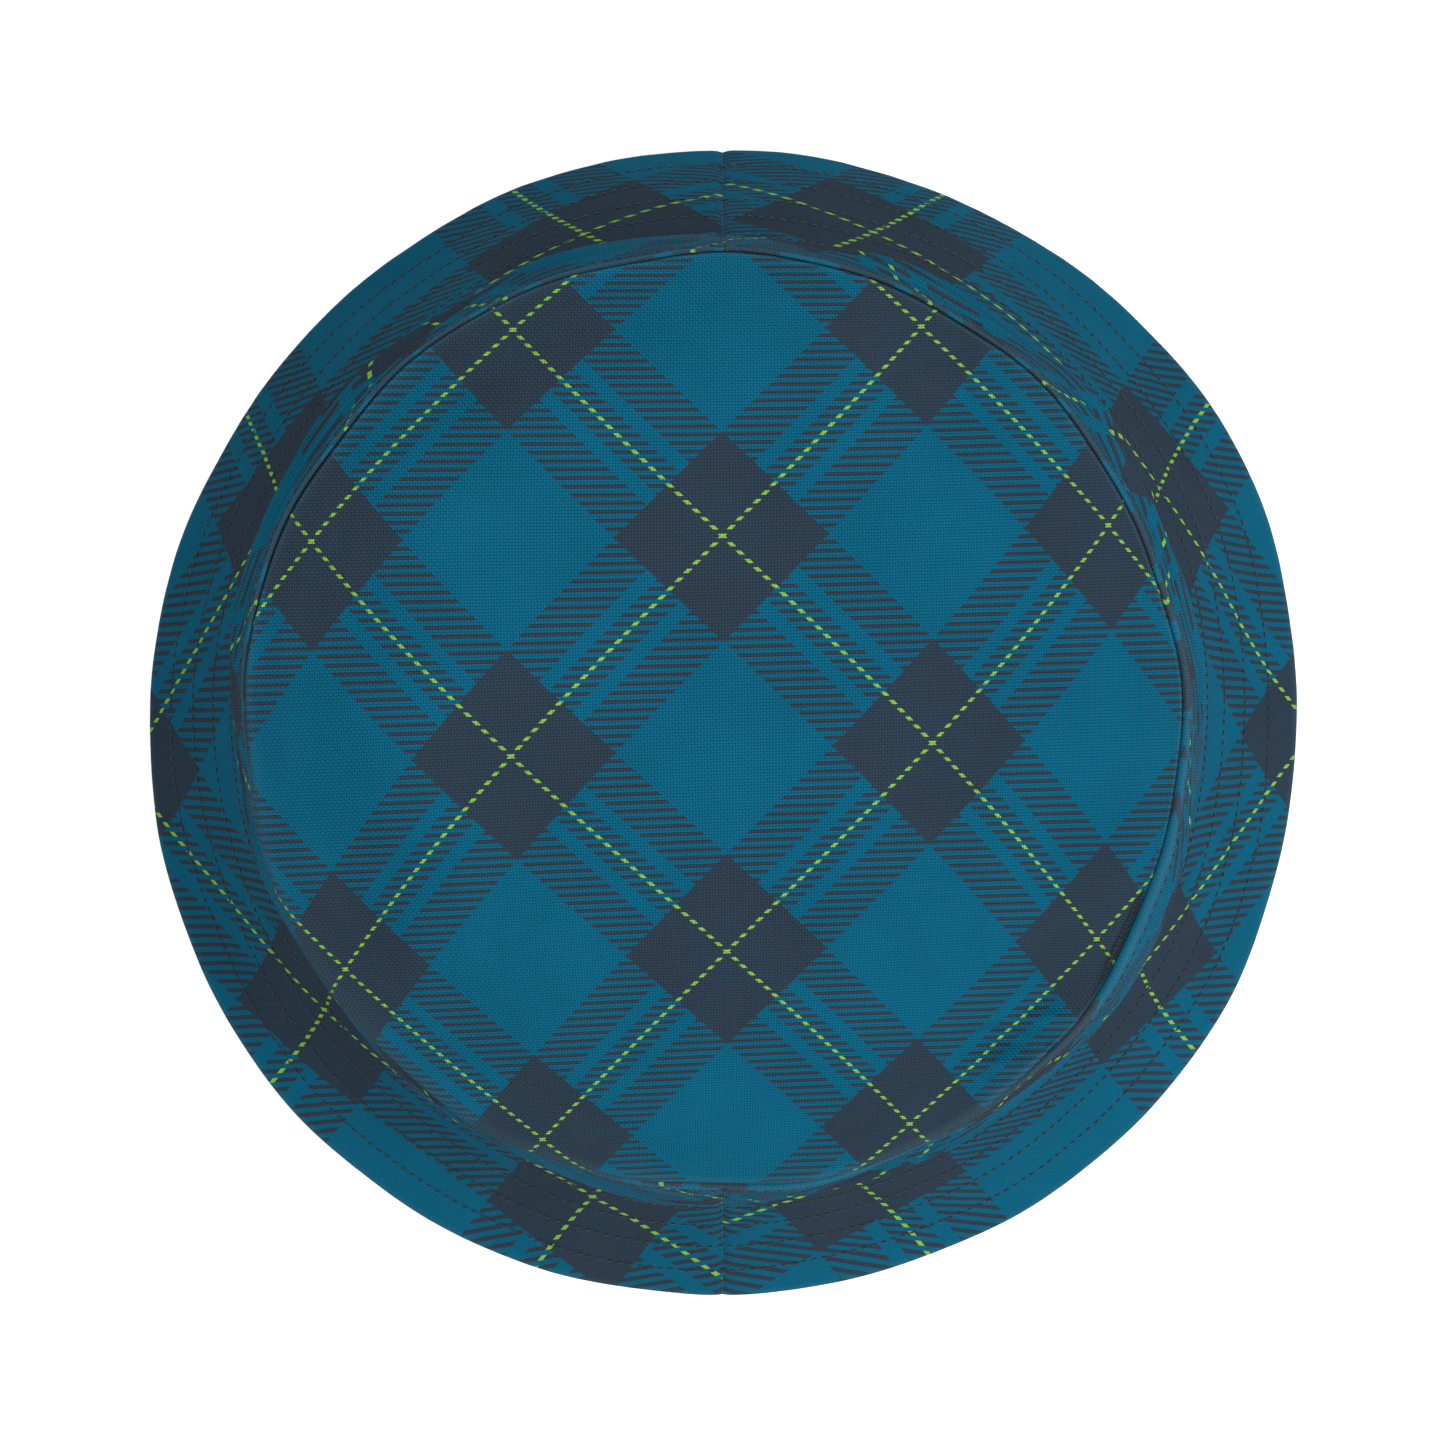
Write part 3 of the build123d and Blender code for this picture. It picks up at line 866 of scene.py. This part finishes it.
# ---------------------------------------------------------------- brim pieces
ROLL_START = BRIM_WIDTH - 0.75 - HEM_ROLL
slope_steps = np.concatenate([steps(0.0, 2.0, 5), steps(2.0, ROLL_START, 120)[1:]])
roll_turns = steps(math.pi / 2, -math.pi / 2, 11)


# Painted highlight along the brim's hem.
def hem_highlight(azimuth, distance, depth):
    return ease(distance, BRIM_WIDTH - 3.2, BRIM_WIDTH - 0.9)


def hem_path(depth_in):
    """Upper ply of the brim, this deep inside its own outer face, round the hem and a little way back."""
    size = HEM_ROLL - depth_in
    path = [(distance, depth_in) for distance in slope_steps]
    path += [(ROLL_START + size * math.cos(a), HEM_ROLL - size * math.sin(a)) for a in roll_turns[1:]]
    path += [(ROLL_START - 0.5, HEM_ROLL + size), (ROLL_START - 1.0, HEM_ROLL + size)]
    return path


under_outer = [(distance, BRIM_THICKNESS - CLOTH) for distance in steps(-0.3, ROLL_START - 1.1, 112)]
under_inner = [(distance, BRIM_THICKNESS) for distance in steps(-0.3, ROLL_START - 1.1, 112)]
lining_outer = [(distance, CLOTH + 0.02) for distance in steps(1.6, ROLL_START, 60)]
lining_inner = [(distance, BRIM_THICKNESS - CLOTH - 0.02) for distance in steps(1.6, ROLL_START, 60)]

for side, (low, high) in HALVES.items():
    azimuths = steps(low + HALF_GAP, high - HALF_GAP, 361)
    upper = ply(
        f"brim_top_{side}",
        hem_path(0.0),
        hem_path(CLOTH),
        azimuths,
        brim_place,
        BRIM_FLATS[side],
        BRIM_PRINTS[side],
        [TARTAN_BRIM],
        wear_and_highlight=hem_highlight,
    )
    own(upper, "tartan_canvas", f"brim_upper_{side}")
    under = ply(
        f"brim_lower_{side}",
        under_outer,
        under_inner,
        azimuths,
        brim_place,
        BRIM_FLATS[side],
        BRIM_PRINTS[side],
        [TARTAN_BRIM],
        wear_and_highlight=hem_highlight,
    )
    own(under, "tartan_canvas_under", f"brim_under_{side}")
    lining = ply(
        f"brim_stiffener_{side}",
        lining_outer,
        lining_inner,
        steps(low + LINING_GAP, high - LINING_GAP, 181),
        brim_place,
        BRIM_FLATS[side],
        None,
        [FELT],
    )
    own(lining, "interlining", f"brim_interlining_{side}")

for row in range(BRIM_ROWS):
    distance = BRIM_WIDTH - FIRST_ROW - row * ROW_SPACING
    needle = row_of_stitches(brim_place, distance, 0.0, -math.pi, math.pi)
    bobbin = row_of_stitches(brim_place, distance, BRIM_THICKNESS, -math.pi, math.pi, outward=False)
    thread = stitches(f"brim_stitches_{row + 1}", [needle, bobbin], THREAD_TEAL)
    own(thread, "thread", f"brim_stitch_row_{row + 1}")

# ---------------------------------------------------------------- crown stitching
base_row = row_of_stitches(wall_place, BASE_HEIGHT + BASE_STITCH_UP, 0.0, -math.pi, math.pi, pitch=WALL_PITCH)
own(stitches("base_stitches", [base_row], THREAD_TEAL), "thread", "crown_base_topstitch")

TAPE_FACE = 3.4
top_row = row_of_stitches(wall_place, TOP_HEIGHT - TOPSTITCH_DOWN, 0.0, -math.pi, math.pi, pitch=WALL_PITCH)
top_bobbin = row_of_stitches(
    wall_place, TOP_HEIGHT - 3.2, TAPE_FACE, -math.pi, math.pi, outward=False, pitch=WALL_PITCH
)
own(stitches("top_stitches", [top_row, top_bobbin], THREAD_TEAL), "thread", "crown_top_topstitch")

# ---------------------------------------------------------------- sweatband
BAND_OUT = CLOTH + 0.05
BAND_IN = 2.0
band_middle = (BAND_OUT + BAND_IN) / 2
band_half = (BAND_IN - BAND_OUT) / 2
band_rise = steps(BASE_HEIGHT, SWEATBAND_TOP - band_half, 34)
band_turns = steps(0.0, math.radians(82.0), 6)[1:]


def band_path(way):
    path = [(height, band_middle + way * band_half) for height in band_rise]
    for a in band_turns:
        path.append((SWEATBAND_TOP - band_half + band_half * math.sin(a), band_middle + way * band_half * math.cos(a)))
    return path


def band_place(azimuth, height, depth):
    """The sweatband: plain against the wall, a little puckered on its inner face."""
    inner = ease(depth, band_middle, BAND_IN)
    pucker = 0.12 * np.sin(azimuth * 61.0 + 2.0 * np.sin(azimuth * 5.0)) * hill(height, BASE_HEIGHT + 4.0, 3.5)
    ripple = 0.16 * np.sin(azimuth * 13.0 + height * 0.08) * ease(height, BASE_HEIGHT + 6.0, SWEATBAND_TOP - 4.0)
    groove = 0.22 * hill(height, SWEATBAND_TOP - 3.0, 0.7) + 0.25 * hill(height, BASE_HEIGHT + 2.2, 0.8)
    radius = BASE_RADIUS - depth + inner * (groove + pucker + ripple)
    return np.stack([radius * np.cos(azimuth), radius * np.sin(azimuth), height + 0.0 * azimuth], axis=-1)


sweatband = ply(
    "sweatband_strip",
    band_path(-1),
    band_path(1),
    ROUND,
    band_place,
    strip_flat(92.9),
    None,
    [TWILL],
    closed=True,
)
band_seam = row_of_stitches(
    band_place, BASE_HEIGHT + BASE_STITCH_UP, BAND_IN, -math.pi, math.pi, outward=False, pitch=WALL_PITCH
)
band_edge = row_of_stitches(band_place, SWEATBAND_TOP - 3.0, BAND_IN, -math.pi, math.pi, outward=False)
band_thread = stitches("sweatband_stitches", [band_seam, band_edge], THREAD_BLACK)
own(sweatband, "sweatband_twill", "sweatband")
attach(band_thread, "hat")

# ---------------------------------------------------------------- seam tapes
TAPE_LOW = SWEATBAND_TOP + 0.3
TAPE_HIGH = TOP_HEIGHT - ALLOWANCE - 0.3
TAPE_HALF = 10.0
TAPE_INNER = CLOTH + 0.65


def rounded_strip(low, high, near, far, count):
    """Outer and inner paths of a strip whose two long edges are softly rounded."""
    rise = steps(low, high, count)
    thin = (far - near) * 0.3
    fade = [thin * max(0.0, 1.0 - min(h - low, high - h) / 0.6) ** 2 for h in rise]
    return [(h, near + f) for h, f in zip(rise, fade)], [(h, far - f) for h, f in zip(rise, fade)]


def ring_tape_place(azimuth, height, depth):
    points = wall_place(azimuth, height, depth)
    ease_in = 1.0 + 0.0015 * np.sin(azimuth * 47.0 + 3.0 * np.sin(azimuth * 4.0)) * ease(depth, 2.9, 3.4)
    return points * np.stack([ease_in, ease_in, np.ones_like(ease_in)], axis=-1)


ring_outer, ring_inner = rounded_strip(TOP_HEIGHT - ALLOWANCE - 0.3, TOP_HEIGHT - 1.2, 2.85, TAPE_FACE, 14)
ring_tape = ply(
    "top_seam_tape", ring_outer, ring_inner, ROUND, ring_tape_place, strip_flat(86.0), None, [TAPE], closed=True
)
own(ring_tape, "seam_tape", "crown_top_seam_tape")


def seam_tape_place(azimuth, height, depth):
    """A tape pressed over an open seam, a little proud where the seam's allowances lie under it."""
    off = np.minimum(np.abs(turned(azimuth, BACK)), np.abs(turned(azimuth, FRONT))) * BASE_RADIUS
    proud = 0.55 * (1.0 - ease(off, 5.5, 8.5)) - 0.25 * hill(off, TAPE_HALF - 2.0, 0.7)
    return wall_place(azimuth, height, depth + proud * ease(depth, CLOTH, 1.4))


for end, azimuth in (("front", FRONT), ("back", BACK)):
    half = TAPE_HALF / BASE_RADIUS
    rise = steps(TAPE_LOW, TAPE_HIGH, 54)
    tape = ply(
        f"{end}_tape",
        [(height, CLOTH + 0.03) for height in rise],
        [(height, TAPE_INNER) for height in rise],
        steps(azimuth - half, azimuth + half, 33),
        seam_tape_place,
        strip_flat(BASE_RADIUS),
        None,
        [TAPE],
    )
    own(tape, "seam_tape", f"{end}_seam_tape")
    lines = []
    for way in (-1, 1):
        line = azimuth + way * (TAPE_HALF - 2.0) / BASE_RADIUS
        lines.append(upright_stitches(seam_tape_place, line, TAPE_LOW + 1.0, TAPE_HIGH - 1.0, TAPE_INNER))
    own(stitches(f"{end}_tape_stitches", lines, THREAD_BLACK), "thread", f"{end}_tape_stitching")

# ---------------------------------------------------------------- care label
label_low, label_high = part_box("care_label")
LABEL_TOP = label_high[2] / MM
LABEL_BOTTOM = label_low[2] / MM
LABEL_HALF = (label_high[0] - label_low[0]) / 2 / MM
LABEL_Y = (label_low[1] + label_high[1]) / 2 / MM
LABEL_PLY = 0.2
LABEL_SEWN = LABEL_TOP + 3.8


def label_section():
    """A folded satin strip: down the back ply, round the fold at the free end, up the front ply."""
    middle = []
    for height in steps(LABEL_SEWN, LABEL_BOTTOM + 0.25, 42):
        middle.append((0.14, height))
    for a in steps(0.0, math.pi, 9)[1:]:
        middle.append((0.14 * math.cos(a), LABEL_BOTTOM + 0.25 - 0.25 * math.sin(a)))
    for height in steps(LABEL_BOTTOM + 0.25, LABEL_SEWN, 42)[1:]:
        middle.append((-0.14, height))
    return middle


def label_reach(x, height):
    """How far the label leans out from its hanging plane, to lie on the tape where it is sewn."""
    azimuth = BACK - x / (BASE_RADIUS - 2.0)
    face = seam_tape_place(np.array([azimuth]), np.array([height]), np.array([TAPE_INNER]))[0]
    return (face[1] - 0.26 - LABEL_Y) * float(ease(height, LABEL_TOP - 0.4, LABEL_TOP + 2.2))


def make_label():
    path = np.array(label_section())
    tangent = np.gradient(path, axis=0)
    tangent = tangent / np.linalg.norm(tangent, axis=1, keepdims=True)
    normal = np.stack([tangent[:, 1], -tangent[:, 0]], axis=1)
    spans = steps(-LABEL_HALF, LABEL_HALF, 19)
    reach = {(x, height): label_reach(x, height) for x in spans for height in set(path[:, 1])}
    vertices = []
    places = []
    run = np.concatenate([[0.0], np.cumsum(np.linalg.norm(np.diff(path, axis=0), axis=1))])
    for way in (0.5, -0.5):
        for point, out, gone in zip(path, normal, run):
            for x in spans:
                drop = max(0.0, LABEL_TOP - point[1]) / (LABEL_TOP - LABEL_BOTTOM)
                curl = -0.55 * drop**2 + 0.16 * drop * math.sin(x * 0.45 + 1.0)
                y = LABEL_Y + point[0] + way * LABEL_PLY * out[0] + curl + reach[(x, point[1])]
                vertices.append((x * MM, y * MM, (point[1] + way * LABEL_PLY * out[1]) * MM))
                places.append((x, gone))
    columns = len(spans)
    rows = len(path)
    faces = []
    for layer in range(2):
        for i in range(rows - 1):
            for j in range(columns - 1):
                a = (layer * rows + i) * columns + j
                faces.append((a, a + 1, a + columns + 1, a + columns))
    shift = rows * columns
    for i in range(rows - 1):
        for j in (0, columns - 1):
            a = i * columns + j
            faces.append((a, a + columns, a + columns + shift, a + shift))
    for i in (0, rows - 1):
        for j in range(columns - 1):
            a = i * columns + j
            faces.append((a, a + 1, a + 1 + shift, a + shift))
    mesh = bpy.data.meshes.new("care_label_satin")
    mesh.from_pydata(vertices, [], faces)
    add_layers(mesh, {"Cloth": np.array(places)})
    return finish_piece("care_label_satin", mesh, [SATIN])


label = make_label()
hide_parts("care_label")
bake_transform(label)

label_turn = 7.0 / BASE_RADIUS
label_row = row_of_stitches(
    seam_tape_place, LABEL_TOP + 3.0, CLOTH + 1.15, BACK - label_turn, BACK + label_turn, outward=False, pitch=1.8
)
own(stitches("label_stitches", [label_row], THREAD_WHITE), "thread", "label_stitching")

# ---------------------------------------------------------------- floor, light and camera
floor_mesh = bpy.data.meshes.new("studio_floor")
work = bmesh.new()
bmesh.ops.create_grid(work, x_segments=8, y_segments=8, size=3.0)
work.to_mesh(floor_mesh)
work.free()
floor = bpy.data.objects.new("studio_floor", floor_mesh)
floor.location = (0.0, 0.0, -0.0002)
bpy.context.collection.objects.link(floor)
ground = Graph("studio_white")
ground.shader.inputs["Base Color"].default_value = (0.9, 0.9, 0.9, 1.0)
ground.shader.inputs["Roughness"].default_value = 0.9
ground.shader.inputs["Specular IOR Level"].default_value = 0.0
ground.shader.inputs["Emission Color"].default_value = (1.0, 1.0, 1.0, 1.0)
ground.shader.inputs["Emission Strength"].default_value = 0.4
floor_mesh.materials.append(ground.material)

world = bpy.data.worlds.new("studio")
bpy.context.scene.world = world
world.use_nodes = True
world.node_tree.nodes["Background"].inputs[0].default_value = (1.0, 1.0, 1.0, 1.0)
world.node_tree.nodes["Background"].inputs[1].default_value = 0.145


def soft_light(name, place, target, size, power):
    data = bpy.data.lights.new(name, "AREA")
    data.shape = "DISK"
    data.size = size
    data.energy = power
    lamp = bpy.data.objects.new(name, data)
    lamp.location = place
    aim = Vector(target) - Vector(place)
    lamp.rotation_mode = "QUATERNION"
    lamp.rotation_quaternion = aim.to_track_quat("-Z", "Y")
    bpy.context.collection.objects.link(lamp)
    return lamp


soft_light("key_light", (1.3, -0.5, 1.7), (0.0, 0.0, 0.08), 0.9, 26.0)
soft_light("top_light", (-0.1, 0.0, 2.6), (0.0, 0.0, 0.08), 1.2, 44.0)

camera_data = bpy.data.cameras.new("camera")
camera_data.sensor_width = 36.0
camera_data.lens = 135.25
camera_data.clip_start = 0.05
camera_data.clip_end = 20.0
camera = bpy.data.objects.new("camera", camera_data)
camera.location = (0.0, 0.0, 1.160)
bpy.context.collection.objects.link(camera)
bpy.context.scene.camera = camera
bpy.context.scene.view_settings.view_transform = "Standard"
